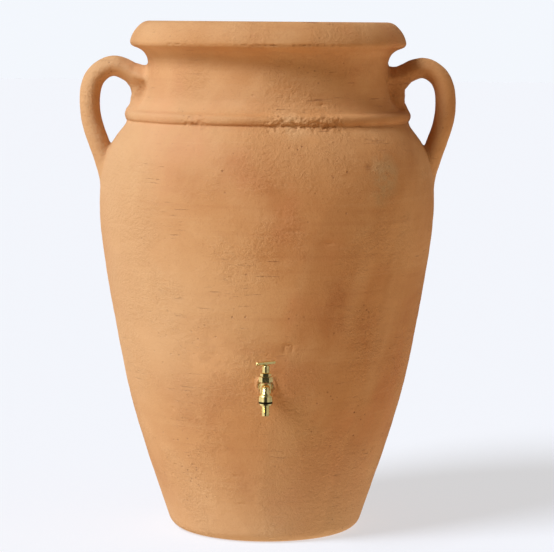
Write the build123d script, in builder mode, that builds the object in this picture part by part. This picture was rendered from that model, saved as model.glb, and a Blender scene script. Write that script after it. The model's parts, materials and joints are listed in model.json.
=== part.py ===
"""Amphora-shaped rain barrel: a rotationally moulded plastic jar with a drop-in lid and a brass tap.

Frame: millimetres, +Z up, origin on the jar's axis at the floor. The tap faces -Y and the handles
lie on +X and -X. Outlines of the jar are (radius, height) stations.
"""

from build123d import *
import math
import os

# ---------------------------------------------------------------- jar
HEIGHT = 1130.0  # floor to the top of the rim
WALL = 6.0  # thickness of the moulded skin
FOOT_R = 185.0  # outer radius of the ring that stands on the floor
FOOT_INNER_R = 150.0
FOOT_RECESS = 8.0  # how far the middle of the base stands off the floor
RECESS_R = 136.0  # flat middle of the base
HEEL_R = 32.0  # rounding between base and wall
WALL_LEAN = 19.2  # lean of the lowest wall from the vertical, in degrees

BELLY = [(256, 141), (298.5, 282), (333.5, 445), (360.5, 608), (371.8, 749), (361, 822), (339, 871),
         (311, 907)]
RIB = [(311, 907), (308.5, 913), (312, 917), (312, 931), (296, 937)]
NECK = [(296, 937), (273, 969), (266, 1025), (278, 1063)]
RIM = [(278, 1063), (305, 1087), (292, 1114), (262, HEIGHT)]
RIB_BACK = [(305, 903), (300, 915), (290, 932)]  # inside of the skin behind the rib, which is smooth

MOUTH_R = 244.0  # wall of the lid seat
MOUTH_EDGE_R = 8.0
SEAT_Z = HEIGHT - 30.0  # ledge that the lid lies on
SEAT_INNER_R = 222.0  # clear opening of the mouth
SEAT_CORNER_R = 4.0

# ---------------------------------------------------------------- strap handles
HANDLE_LINE = [(251, 1001), (292, 1010), (341, 1028), (378, 1009), (393, 960), (389, 907), (374, 864),
               (340, 742)]
STRAP_HALF_WIDTH = 36.0
STRAP_OUTER_RISE = 25.0  # crown of the outer face above the line through the strap's edges
STRAP_INNER_RISE = 21.0
STRAP_EDGE_R = 8.0
STRAP_WALL = 5.5
WEB = [(322, 1000), (304, 963), (312, 930)]  # loop side of the web between upper root and neck
WEB_BACK_R = 255.0
WEB_HALF_WIDTH = 20.0

# ---------------------------------------------------------------- tap boss and insert
TAP_Z = 365.0  # height of the tap's inlet
PAD_Y = -324.0  # flat face of the pad that the tap screws against
PAD_R = 23.0
BOSS_BACK_Y = -298.0  # inner end of the boss
INSERT_R = 15.5
INSERT_LENGTH = 20.0
INSERT_GROOVE = 1.0  # depth and width of the grooves that key the insert into the boss
INLET_THREAD_R = 10.4  # half-inch pipe thread, drawn plain at its crest
THREAD_GAP = 0.1  # play between a thread and its hole, both drawn plain
EDGE = 0.8  # chamfer on the edges of turned and hexagonal brass

# ---------------------------------------------------------------- tap body
SEAL = 2.5  # thickness of the inlet seal
SEAL_INSET = 0.5  # a seal ends this much inside the face that presses it
INLET_END_Y = PAD_Y + 21.0  # inner end of the inlet thread
INLET_HEX = 27.0  # across the flats
INLET_COLLAR = 5.0
INLET_TUBE_R = 10.5
INLET_BORE_R = 6.0
INLET_BORE_END_Y = -350.0
STEM_Y = -367.0  # upright axis through valve and handle
CHAMBER_R = 12.5
CHAMBER_BOTTOM_Z = 351.0
CHAMBER_ROUND = 6.0  # height of the rounded bottom
CHAMBER_TOP_Z = 378.5
LOWER_CAVITY_R = 8.0
LOWER_CAVITY_Z = (354.5, 364.5)
UPPER_CAVITY_R = 9.3
UPPER_CAVITY_Z = 366.5
SEAT_HOLE_R = 5.5
SEAT_RING_R = 7.0
VALVE_SEAT_Z = 367.5
TRANSFER_R = 4.0  # bore from the inlet into the lower cavity
TRANSFER_Z = 359.5
SPOUT_Y = -397.0  # upright axis of the outlet
SPOUT_R = 9.0
SPOUT_BORE_R = 4.0
SPOUT_TOP_Z = 369.5
SPOUT_BEND_R = 12.0
BELL_R = 14.3  # the spout flares like a bell down to the union nut
BELL_TOP_Z = 366.0
BELL_BOTTOM_Z = 354.6
SPOUT_END_Z = 344.5
SPOUT_MOUTH_R = 9.0
SPOUT_MOUTH_DEPTH = 8.5
UNION_THREAD_R = 13.2  # three-quarter-inch pipe thread at its crest

# ---------------------------------------------------------------- headwork
RUNNING = 0.06  # radial play of turning and sliding fits
REST_GAP = 0.2  # between closed faces that part when something moves
GASKET = 1.5
BONNET_THREAD_R = 9.2
BONNET_SLEEVE_R = 7.0  # inside of the bonnet's lower sleeve
BONNET_BOTTOM_Z = 372.0
BONNET_SLEEVE_TOP_Z = 382.0
BONNET_HEX = 25.0  # across the flats
BONNET_TOP_Z = 392.0
BONNET_NECK_R = 7.0
BONNET_NECK_TOP_Z = 396.0
PACKING_R = 6.0
PACKING_Z = (390.0, 395.5)
GLAND_HEX = 20.0
GLAND_BOTTOM_Z = 392.4
GLAND_ROOF_Z = 396.3
GLAND_TOP_Z = 399.0
STEM_R = 4.0
STEM_THREAD_R = 5.0
STEM_THREAD_TOP_Z = 383.5
STEM_COLLAR_R = 6.4
STEM_COLLAR = 3.0
STEM_TOP_Z = 411.0
JUMPER_R = 6.8
JUMPER_DISC = 2.0
JUMPER_PIN_R = 2.5
JUMPER_PIN = 8.0
JUMPER_STUD_R = 1.5
JUMPER_STUD = 5.1
SEAT_WASHER = 2.6
SEAT_WASHER_R = 6.5
WASHER_NUT_HEX = 6.0
WASHER_NUT = 2.2

# ---------------------------------------------------------------- tee handle
HUB_R = 8.0
HUB_TOP_R = 4.3
HUB_BOTTOM_Z = 399.6
HUB_SHOULDER_Z = 412.0
BAR_Z = 420.0
BAR_R = 3.65
BAR_LENGTH = 50.0
BAR_TURN = 37.0  # the bar's heading at rest, in degrees from +X
GRUB_R = 2.0
GRUB_Z = 405.0
GRUB_LENGTH = 3.4
GRUB_SOCKET = 2.0

# ---------------------------------------------------------------- hose union
NUT_R = 15.3  # at its widest, just above the groove
NUT_TOP_R = 14.3
NUT_FOOT_R = 12.8
NUT_BOTTOM_Z = 337.0
NUT_TOP_Z = 354.0
NUT_FLANGE = 2.5
NUT_GROOVE = (1.1, 340.8, 343.8)  # depth, lower edge and upper edge
HOSE_WASHER = 2.3
TAIL_COLLAR_R = 12.6
TAIL_COLLAR = 2.2
TAIL_NECK_R = 8.2
TAIL_R = 7.7
TAIL_BARB_R = 8.7
TAIL_BARBS = 4
TAIL_BARB_PITCH = 3.8
TAIL_LAND = 5.0  # plain end below the lowest barb
TAIL_BORE_R = 5.5
TAIL_END_Z = 314.0

# ---------------------------------------------------------------- lid
LID_R = 239.5
LID_T = 5.0
LID_SKIN = 4.0
LID_CROWN_Z = SEAT_Z + 14.0
LID_SHOULDER_Z = SEAT_Z + 9.0
FLANGE_INNER_R = 217.0
SKIRT_R = 218.0
SKIRT = 14.0  # how far the skirt hangs into the mouth
CUP_R = 56.0
CUP_BOTTOM_R = 47.0
CUP_FLOOR_Z = 1080.0
BAR_WIDTH = 24.0
BAR_THICKNESS = 9.0
BEAD_R = 2.5
BEAD_RINGS = (104.0, 160.0)
LID_RIBS = 8
LID_RIB_T = 3.0
LID_RIB_DEPTH = 10.0

# ---------------------------------------------------------------- lid locking screws
LOCK_R = 230.0  # where the two child-safety screws stand, on +X and -X
LOCK_SHANK_R = 4.0
LOCK_HOLE_R = 4.3
LOCK_LENGTH = 15.5  # below the head
LOCK_PITCH = 3.0
LOCK_THREAD_DEPTH = 0.7
LOCK_RING = 2.0
LOCK_RING_R = 7.5
LOCK_HEAD_R = 9.5
LOCK_HEAD = 9.0
LOCK_FLUTES = 10
LOCK_FLUTE_R = 1.6
LOCK_SLOT = (15.0, 2.2, 2.5)  # length, width and depth


def inset(stations, depth):
    """The stations moved into the wall by depth, square to the line through their neighbours."""
    moved = []
    for i, (r, z) in enumerate(stations):
        r0, z0 = stations[max(i - 1, 0)]
        r1, z1 = stations[min(i + 1, len(stations) - 1)]
        length = math.hypot(r1 - r0, z1 - z0)
        moved.append((r - depth * (z1 - z0) / length, z + depth * (r1 - r0) / length))
    return moved


def strap_section(shrink):
    """Lens-shaped cross-section of a strap handle, shrink smaller all round."""
    half = STRAP_HALF_WIDTH
    with BuildSketch() as section:
        with BuildLine():
            ThreePointArc((-half, 0), (0, STRAP_OUTER_RISE), (half, 0))
            ThreePointArc((half, 0), (0, -STRAP_INNER_RISE), (-half, 0))
        make_face()
        fillet(section.vertices(), STRAP_EDGE_R)
        if shrink:
            offset(amount=-shrink, mode=Mode.REPLACE)
    return section.sketch


def on_stem(z):
    """Level plane at height z on the axis of valve and handle."""
    return Plane((0, STEM_Y, z))


def on_spout(z):
    """Level plane at height z on the axis of the outlet."""
    return Plane((0, SPOUT_Y, z))


def ring(plane, outer_r, inner_r):
    """Flat ring drawn on a plane."""
    with BuildSketch(plane) as shape:
        Circle(outer_r)
        Circle(inner_r, mode=Mode.SUBTRACT)
    return shape.sketch


os.makedirs("parts", exist_ok=True)
lean = (math.sin(math.radians(WALL_LEAN)), math.cos(math.radians(WALL_LEAN)))

# ================================================================ jar
# One hollow moulding: wall, rib, neck, rolled rim, lid seat, strap handles and tap boss.
with BuildPart() as vessel:
    with BuildSketch(Plane.XZ):
        with BuildLine():
            Polyline((0, FOOT_RECESS), (RECESS_R, FOOT_RECESS), (FOOT_INNER_R, 0), (FOOT_R, 0))
            heel = JernArc((FOOT_R, 0), (1, 0), HEEL_R, 90 - WALL_LEAN)
            Spline([heel @ 1] + BELLY, tangents=[lean, (-0.62, 0.78)])
            FilletPolyline(RIB, radius=2)
            Spline(NECK, tangents=[(-0.9, 0.42), (0.8, 0.6)])
            Spline(RIM, tangents=[(0.8, 0.6), (-1, 0)])
            Line(RIM[-1], (MOUTH_R + MOUTH_EDGE_R, HEIGHT))
            JernArc((MOUTH_R + MOUTH_EDGE_R, HEIGHT), (-1, 0), MOUTH_EDGE_R, 90)
            Line((MOUTH_R, HEIGHT - MOUTH_EDGE_R), (MOUTH_R, SEAT_Z + SEAT_CORNER_R))
            JernArc((MOUTH_R, SEAT_Z + SEAT_CORNER_R), (0, -1), SEAT_CORNER_R, -90)
            Polyline((MOUTH_R - SEAT_CORNER_R, SEAT_Z), (0, SEAT_Z), (0, FOOT_RECESS))
        make_face()
    revolve(axis=Axis.Z)
    for side in (1, -1):
        with BuildSketch(Plane.XZ if side == 1 else Plane((0, 0, 0), x_dir=(-1, 0, 0), z_dir=(0, 1, 0))):
            with BuildLine():
                Spline(WEB)
                Polyline(WEB[-1], (WEB_BACK_R, WEB[-1][1]), (WEB_BACK_R, WEB[0][1]), WEB[0])
            make_face()
        extrude(amount=WEB_HALF_WIDTH, both=True)
    for shrink, mode in ((0, Mode.ADD), (STRAP_WALL, Mode.SUBTRACT)):
        for side in (1, -1):
            with BuildLine(Plane.XZ) as route:
                Spline([(side * r, z) for r, z in HANDLE_LINE])
            with BuildSketch(Plane(origin=route.line @ 0, x_dir=(0, side, 0), z_dir=route.line % 0)):
                add(strap_section(shrink))
            sweep(mode=mode)
    with BuildSketch(Plane.XZ):
        with BuildLine():
            foot = (0, FOOT_RECESS + WALL)
            Polyline(foot, (RECESS_R + 3, FOOT_RECESS + WALL), (FOOT_INNER_R + 3, WALL), (FOOT_R, WALL))
            inner_heel = JernArc((FOOT_R, WALL), (1, 0), HEEL_R - WALL, 90 - WALL_LEAN)
            Spline([inner_heel @ 1] + inset(BELLY, WALL)[:-1] + [RIB_BACK[0]], tangents=[lean, (-0.5, 0.86)])
            Polyline(RIB_BACK)
            Spline([RIB_BACK[-1]] + inset(NECK, WALL)[1:3] + inset(RIM, WALL)[:1])
            Spline(inset(RIM, WALL)[:3] + [(RIM[-1][0], HEIGHT - WALL)])
            Polyline((RIM[-1][0], HEIGHT - WALL), (MOUTH_R + WALL, HEIGHT - WALL),
                     (MOUTH_R + WALL, SEAT_Z - WALL), (SEAT_INNER_R, SEAT_Z - WALL),
                     (SEAT_INNER_R, SEAT_Z), (0, SEAT_Z), foot)
        make_face()
    revolve(axis=Axis.Z, mode=Mode.SUBTRACT)
    with BuildSketch(Plane.XZ.offset(-BOSS_BACK_Y)):
        with Locations((0, TAP_Z)):
            Circle(PAD_R)
    extrude(amount=BOSS_BACK_Y - PAD_Y)
    with BuildSketch(Plane.XZ.offset(-BOSS_BACK_Y)):
        with Locations((0, TAP_Z)):
            Circle(INLET_THREAD_R + THREAD_GAP)
    extrude(amount=BOSS_BACK_Y - PAD_Y, mode=Mode.SUBTRACT)
    with BuildSketch(Plane.XZ.offset(-PAD_Y)):
        with Locations((0, TAP_Z)):
            Circle(INSERT_R)
    extrude(amount=-INSERT_LENGTH, mode=Mode.SUBTRACT)
    with Locations((LOCK_R, 0, SEAT_Z), (-LOCK_R, 0, SEAT_Z)):
        Hole(LOCK_HOLE_R, depth=2 * WALL)
vessel.part.label = "vessel"
export_step(vessel.part, "parts/vessel.step")

# ================================================================ tap insert and inlet
inlet_axis = Axis((0, 0, TAP_Z), (0, 1, 0))
stem_axis = Axis((0, STEM_Y, 0), (0, 0, 1))
spout_axis = Axis((0, SPOUT_Y, 0), (0, 0, 1))
stem_plane = Plane.XZ.offset(-STEM_Y)
spout_plane = Plane.XZ.offset(-SPOUT_Y)

# Brass bush moulded into the boss, keyed by grooves round its outside.
with BuildPart() as tap_insert:
    with BuildSketch(Plane.XZ.offset(-PAD_Y)):
        with Locations((0, TAP_Z)):
            Circle(INSERT_R)
            Circle(INLET_THREAD_R + THREAD_GAP, mode=Mode.SUBTRACT)
    extrude(amount=-INSERT_LENGTH)
    with BuildSketch(Plane.YZ):
        with Locations((PAD_Y + INSERT_LENGTH / 2, TAP_Z + INSERT_R)):
            with GridLocations(4 * INSERT_GROOVE, 0, 3, 1):
                Rectangle(INSERT_GROOVE, 2 * INSERT_GROOVE)
    revolve(axis=inlet_axis, mode=Mode.SUBTRACT)
tap_insert.part.label = "tap_insert"
export_step(tap_insert.part, "parts/tap_insert.step")

with BuildPart() as inlet_seal:
    with BuildSketch(Plane.XZ.offset(-PAD_Y)):
        with Locations((0, TAP_Z)):
            Circle(INLET_HEX / 2 - SEAL_INSET)
            Circle(INLET_THREAD_R + THREAD_GAP, mode=Mode.SUBTRACT)
    extrude(amount=SEAL)
inlet_seal.part.label = "inlet_seal"
export_step(inlet_seal.part, "parts/inlet_seal.step")

# ================================================================ tap body
# Threaded inlet with its hexagon, valve chamber and bent spout in one casting.
collar_y = PAD_Y - SEAL
with BuildPart() as tap_body:
    with BuildSketch(Plane.XZ.offset(-collar_y)):
        with Locations((0, TAP_Z)):
            RegularPolygon(INLET_HEX / 2, 6, major_radius=False)
    extrude(amount=INLET_COLLAR)
    chamfer(tap_body.faces().sort_by(Axis.Y)[0].edges(), EDGE)
    with BuildSketch(Plane.YZ):
        with BuildLine():
            Polyline((INLET_END_Y, TAP_Z), (INLET_END_Y, TAP_Z + INLET_THREAD_R - 1),
                     (INLET_END_Y - 1, TAP_Z + INLET_THREAD_R), (collar_y - 1, TAP_Z + INLET_THREAD_R),
                     (collar_y - 1, TAP_Z + INLET_TUBE_R), (STEM_Y, TAP_Z + INLET_TUBE_R),
                     (STEM_Y, TAP_Z), close=True)
        make_face()
    revolve(axis=inlet_axis)
    with BuildSketch(stem_plane):
        with BuildLine():
            Line((0, CHAMBER_BOTTOM_Z), (0, CHAMBER_TOP_Z))
            round_z = CHAMBER_BOTTOM_Z + CHAMBER_ROUND
            Polyline((0, CHAMBER_TOP_Z), (CHAMBER_R, CHAMBER_TOP_Z), (CHAMBER_R, round_z))
            Spline((CHAMBER_R, round_z), (0, CHAMBER_BOTTOM_Z), tangents=[(0, -1), (-1, 0)])
        make_face()
    revolve(axis=stem_axis)
    with BuildLine(Plane.YZ):
        FilletPolyline((STEM_Y, SPOUT_TOP_Z), (SPOUT_Y, SPOUT_TOP_Z), (SPOUT_Y, BELL_BOTTOM_Z),
                       radius=SPOUT_BEND_R)
    with BuildSketch(Plane.XZ.offset(-STEM_Y)):
        with Locations((0, SPOUT_TOP_Z)):
            Circle(SPOUT_R)
    sweep()
    with BuildSketch(spout_plane):
        with BuildLine():
            Polyline((0, SPOUT_END_Z), (UNION_THREAD_R - 1, SPOUT_END_Z), (UNION_THREAD_R, SPOUT_END_Z + 1),
                     (UNION_THREAD_R, BELL_BOTTOM_Z), (BELL_R, BELL_BOTTOM_Z), (BELL_R, BELL_BOTTOM_Z + 1))
            Spline((BELL_R, BELL_BOTTOM_Z + 1), (SPOUT_R - 1, BELL_TOP_Z),
                   tangents=[(-0.5, 0.85), (-0.05, 1)])
            Polyline((SPOUT_R - 1, BELL_TOP_Z), (0, BELL_TOP_Z), (0, SPOUT_END_Z))
        make_face()
    revolve(axis=spout_axis)
    with BuildSketch(Plane.XZ.offset(-INLET_END_Y)):
        with Locations((0, TAP_Z)):
            Circle(INLET_BORE_R)
    extrude(amount=INLET_END_Y - INLET_BORE_END_Y, mode=Mode.SUBTRACT)
    with BuildSketch(Plane.XZ.offset(-INLET_BORE_END_Y - 4)):
        with Locations((0, TRANSFER_Z)):
            Circle(TRANSFER_R)
    extrude(amount=INLET_BORE_END_Y + 4 - STEM_Y, mode=Mode.SUBTRACT)
    with BuildSketch(stem_plane):
        with BuildLine():
            Polyline((0, LOWER_CAVITY_Z[0]), (LOWER_CAVITY_R, LOWER_CAVITY_Z[0]),
                     (LOWER_CAVITY_R, LOWER_CAVITY_Z[1]), (SEAT_HOLE_R, LOWER_CAVITY_Z[1]),
                     (SEAT_HOLE_R, VALVE_SEAT_Z), (SEAT_RING_R, VALVE_SEAT_Z),
                     (SEAT_RING_R, UPPER_CAVITY_Z), (UPPER_CAVITY_R, UPPER_CAVITY_Z),
                     (UPPER_CAVITY_R, CHAMBER_TOP_Z), (0, CHAMBER_TOP_Z), close=True)
        make_face()
    revolve(axis=stem_axis, mode=Mode.SUBTRACT)
    with BuildLine(Plane.YZ):
        FilletPolyline((STEM_Y - SEAT_RING_R, SPOUT_TOP_Z), (SPOUT_Y, SPOUT_TOP_Z), (SPOUT_Y, SPOUT_END_Z),
                       radius=SPOUT_BEND_R)
    with BuildSketch(Plane.XZ.offset(SEAT_RING_R - STEM_Y)):
        with Locations((0, SPOUT_TOP_Z)):
            Circle(SPOUT_BORE_R)
    sweep(mode=Mode.SUBTRACT)
    with BuildSketch(on_spout(SPOUT_END_Z)):
        Circle(SPOUT_MOUTH_R)
    extrude(amount=SPOUT_MOUTH_DEPTH, mode=Mode.SUBTRACT)
tap_body.part.label = "tap_body"
export_step(tap_body.part, "parts/tap_body.step")

# ================================================================ headwork
with BuildPart() as bonnet_gasket:
    add(ring(on_stem(CHAMBER_TOP_Z), CHAMBER_R - SEAL_INSET, BONNET_THREAD_R + THREAD_GAP))
    extrude(amount=GASKET)
bonnet_gasket.part.label = "bonnet_gasket"
export_step(bonnet_gasket.part, "parts/bonnet_gasket.step")

bonnet_seat_z = CHAMBER_TOP_Z + GASKET
with BuildPart() as bonnet:
    with BuildSketch(on_stem(bonnet_seat_z)):
        RegularPolygon(BONNET_HEX / 2, 6, major_radius=False)
    extrude(amount=BONNET_TOP_Z - bonnet_seat_z)
    chamfer(bonnet.faces().sort_by(Axis.Z)[-1].edges(), EDGE)
    chamfer(bonnet.faces().sort_by(Axis.Z)[0].edges(), EDGE / 2)
    with BuildSketch(on_stem(BONNET_BOTTOM_Z)):
        Circle(BONNET_THREAD_R)
    extrude(amount=bonnet_seat_z - BONNET_BOTTOM_Z)
    with BuildSketch(on_stem(BONNET_TOP_Z)):
        Circle(BONNET_NECK_R)
    extrude(amount=BONNET_NECK_TOP_Z - BONNET_TOP_Z)
    with BuildSketch(stem_plane):
        with BuildLine():
            Polyline((0, BONNET_BOTTOM_Z), (BONNET_SLEEVE_R, BONNET_BOTTOM_Z),
                     (BONNET_SLEEVE_R, BONNET_SLEEVE_TOP_Z),
                     (STEM_THREAD_R + RUNNING, BONNET_SLEEVE_TOP_Z),
                     (STEM_THREAD_R + RUNNING, PACKING_Z[0]), (PACKING_R, PACKING_Z[0]),
                     (PACKING_R, BONNET_NECK_TOP_Z), (0, BONNET_NECK_TOP_Z), close=True)
        make_face()
    revolve(axis=stem_axis, mode=Mode.SUBTRACT)
bonnet.part.label = "bonnet"
export_step(bonnet.part, "parts/bonnet.step")

with BuildPart() as gland_packing:
    add(ring(on_stem(PACKING_Z[0]), PACKING_R, STEM_R + RUNNING))
    extrude(amount=PACKING_Z[1] - PACKING_Z[0])
gland_packing.part.label = "gland_packing"
export_step(gland_packing.part, "parts/gland_packing.step")

with BuildPart() as gland_nut:
    with BuildSketch(on_stem(GLAND_BOTTOM_Z)):
        RegularPolygon(GLAND_HEX / 2, 6, major_radius=False)
    extrude(amount=GLAND_TOP_Z - GLAND_BOTTOM_Z)
    chamfer(gland_nut.faces().sort_by(Axis.Z)[-1].edges(), EDGE)
    with BuildSketch(on_stem(GLAND_BOTTOM_Z)):
        Circle(BONNET_NECK_R + THREAD_GAP)
    extrude(amount=GLAND_ROOF_Z - GLAND_BOTTOM_Z, mode=Mode.SUBTRACT)
    with BuildSketch(on_stem(GLAND_ROOF_Z)):
        Circle(STEM_R + 5 * RUNNING)
    extrude(amount=GLAND_TOP_Z - GLAND_ROOF_Z, mode=Mode.SUBTRACT)
gland_nut.part.label = "gland_nut"
export_step(gland_nut.part, "parts/gland_nut.step")

# Jumper valve: disc on a loose pin, with a stud that carries the washer and its nut.
washer_z = VALVE_SEAT_Z + REST_GAP
disc_z = washer_z + SEAT_WASHER
stem_bottom_z = disc_z + JUMPER_DISC + REST_GAP
with BuildPart() as jumper_valve:
    with BuildSketch(on_stem(disc_z)):
        Circle(JUMPER_R)
    extrude(amount=JUMPER_DISC)
    with BuildSketch(on_stem(disc_z + JUMPER_DISC)):
        Circle(JUMPER_PIN_R)
    extrude(amount=JUMPER_PIN)
    chamfer(jumper_valve.faces().sort_by(Axis.Z)[-1].edges(), EDGE / 2)
    with BuildSketch(on_stem(disc_z)):
        Circle(JUMPER_STUD_R)
    extrude(amount=-JUMPER_STUD)
jumper_valve.part.label = "jumper_valve"
export_step(jumper_valve.part, "parts/jumper_valve.step")

with BuildPart() as seat_washer:
    add(ring(on_stem(washer_z), SEAT_WASHER_R, JUMPER_STUD_R + RUNNING))
    extrude(amount=SEAT_WASHER)
seat_washer.part.label = "seat_washer"
export_step(seat_washer.part, "parts/seat_washer.step")

with BuildPart() as washer_nut:
    with BuildSketch(on_stem(washer_z)):
        RegularPolygon(WASHER_NUT_HEX / 2, 6, major_radius=False)
        Circle(JUMPER_STUD_R + RUNNING, mode=Mode.SUBTRACT)
    extrude(amount=-WASHER_NUT)
washer_nut.part.label = "washer_nut"
export_step(washer_nut.part, "parts/washer_nut.step")

with BuildPart() as spindle:
    with BuildSketch(stem_plane):
        with BuildLine():
            Polyline((JUMPER_PIN_R + RUNNING, stem_bottom_z), (STEM_COLLAR_R, stem_bottom_z),
                     (STEM_COLLAR_R, stem_bottom_z + STEM_COLLAR),
                     (STEM_THREAD_R, stem_bottom_z + STEM_COLLAR), (STEM_THREAD_R, STEM_THREAD_TOP_Z),
                     (STEM_R, STEM_THREAD_TOP_Z + 1), (STEM_R, STEM_TOP_Z - 1), (STEM_R - 1, STEM_TOP_Z),
                     (0, STEM_TOP_Z), (0, disc_z + JUMPER_DISC + JUMPER_PIN + 1),
                     (JUMPER_PIN_R + RUNNING, disc_z + JUMPER_DISC + JUMPER_PIN + 1), close=True)
        make_face()
    revolve(axis=stem_axis)
spindle.part.label = "spindle"
export_step(spindle.part, "parts/spindle.step")

# ================================================================ tee handle
bar_dir = (math.cos(math.radians(BAR_TURN)), math.sin(math.radians(BAR_TURN)), 0)
grub_dir = (-bar_dir[1], bar_dir[0], 0)
with BuildPart() as tee_handle:
    with BuildSketch(Plane((0, STEM_Y, BAR_Z), z_dir=bar_dir)):
        Circle(BAR_R)
    extrude(amount=BAR_LENGTH / 2, both=True)
    fillet(tee_handle.edges().filter_by(GeomType.CIRCLE), 0.8 * BAR_R)
    with BuildSketch(stem_plane):
        with BuildLine():
            Polyline((0, BAR_Z), (0, HUB_BOTTOM_Z), (HUB_R - EDGE, HUB_BOTTOM_Z),
                     (HUB_R, HUB_BOTTOM_Z + EDGE), (HUB_R, HUB_SHOULDER_Z))
            Spline((HUB_R, HUB_SHOULDER_Z), (HUB_TOP_R, BAR_Z - 2), tangents=[(0, 1), (-0.3, 1)])
            Polyline((HUB_TOP_R, BAR_Z - 2), (HUB_TOP_R - 1, BAR_Z), (0, BAR_Z))
        make_face()
    revolve(axis=stem_axis)
    with BuildSketch(on_stem(HUB_BOTTOM_Z)):
        Circle(STEM_R + RUNNING)
    extrude(amount=STEM_TOP_Z + REST_GAP - HUB_BOTTOM_Z, mode=Mode.SUBTRACT)
    with BuildSketch(Plane((0, STEM_Y, GRUB_Z), z_dir=grub_dir)):
        Circle(GRUB_R + RUNNING)
    extrude(amount=HUB_R + 1, mode=Mode.SUBTRACT)
tee_handle.part.label = "tee_handle"
export_step(tee_handle.part, "parts/tee_handle.step")

with BuildPart() as handle_screw:
    with BuildSketch(Plane((0, STEM_Y, GRUB_Z), z_dir=grub_dir).offset(STEM_R)):
        Circle(GRUB_R)
    extrude(amount=GRUB_LENGTH)
    with BuildSketch(Plane((0, STEM_Y, GRUB_Z), z_dir=grub_dir).offset(STEM_R + GRUB_LENGTH)):
        RegularPolygon(GRUB_SOCKET / 2, 6, major_radius=False)
    extrude(amount=-GRUB_LENGTH / 2, mode=Mode.SUBTRACT)
handle_screw.part.label = "handle_screw"
export_step(handle_screw.part, "parts/handle_screw.step")

# ================================================================ hose union
tail_top_z = NUT_BOTTOM_Z + NUT_FLANGE + REST_GAP + TAIL_COLLAR
with BuildPart() as union_nut:
    depth, low, high = NUT_GROOVE
    with BuildSketch(spout_plane):
        with BuildLine():
            Polyline((TAIL_NECK_R + REST_GAP, NUT_BOTTOM_Z), (NUT_FOOT_R, NUT_BOTTOM_Z),
                     (NUT_R - EDGE, low - EDGE), (NUT_R - EDGE, low), (NUT_R - depth, low),
                     (NUT_R - depth, high), (NUT_R, high), (NUT_R, high + EDGE), (NUT_TOP_R, NUT_TOP_Z),
                     (UNION_THREAD_R + THREAD_GAP, NUT_TOP_Z),
                     (UNION_THREAD_R + THREAD_GAP, NUT_BOTTOM_Z + NUT_FLANGE),
                     (TAIL_NECK_R + REST_GAP, NUT_BOTTOM_Z + NUT_FLANGE), close=True)
        make_face()
    revolve(axis=spout_axis)
union_nut.part.label = "union_nut"
export_step(union_nut.part, "parts/union_nut.step")

with BuildPart() as hose_washer:
    add(ring(on_spout(tail_top_z), TAIL_COLLAR_R, TAIL_BORE_R + 1))
    extrude(amount=HOSE_WASHER)
hose_washer.part.label = "hose_washer"
export_step(hose_washer.part, "parts/hose_washer.step")

with BuildPart() as hose_tail:
    barb_top = TAIL_END_Z + TAIL_LAND + TAIL_BARBS * TAIL_BARB_PITCH
    with BuildSketch(spout_plane):
        with BuildLine():
            barbs = []
            for i in range(TAIL_BARBS):
                barbs.append((TAIL_BARB_R, barb_top - i * TAIL_BARB_PITCH))
                barbs.append((TAIL_R, barb_top - (i + 1) * TAIL_BARB_PITCH))
            Polyline((TAIL_BORE_R, tail_top_z), (TAIL_COLLAR_R, tail_top_z),
                     (TAIL_COLLAR_R, tail_top_z - TAIL_COLLAR), (TAIL_NECK_R, tail_top_z - TAIL_COLLAR),
                     (TAIL_NECK_R, barb_top), *barbs, (TAIL_R, TAIL_END_Z), (TAIL_BORE_R, TAIL_END_Z),
                     close=True)
        make_face()
    revolve(axis=spout_axis)
hose_tail.part.label = "hose_tail"
export_step(hose_tail.part, "parts/hose_tail.step")

# ================================================================ lid
# Domed lid with a flange on the seat, a skirt in the mouth and a finger cup with a bar across it.
with BuildPart() as lid_ribs:
    with PolarLocations(0, LID_RIBS, start_angle=360 / LID_RIBS / 2):
        Box(SKIRT_R - 1, LID_RIB_T, LID_CROWN_Z, align=(Align.MIN, Align.CENTER, Align.MIN))
    with BuildSketch(Plane.XZ):
        with BuildLine():
            Polyline((CUP_R + 1, LID_CROWN_Z - 2), (FLANGE_INNER_R - 2, LID_SHOULDER_Z - 2),
                     (FLANGE_INNER_R - 2, SEAT_Z - SKIRT / 2),
                     (CUP_R + 1, LID_CROWN_Z - LID_SKIN - LID_RIB_DEPTH), close=True)
        make_face()
    revolve(axis=Axis.Z, mode=Mode.INTERSECT)

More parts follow.
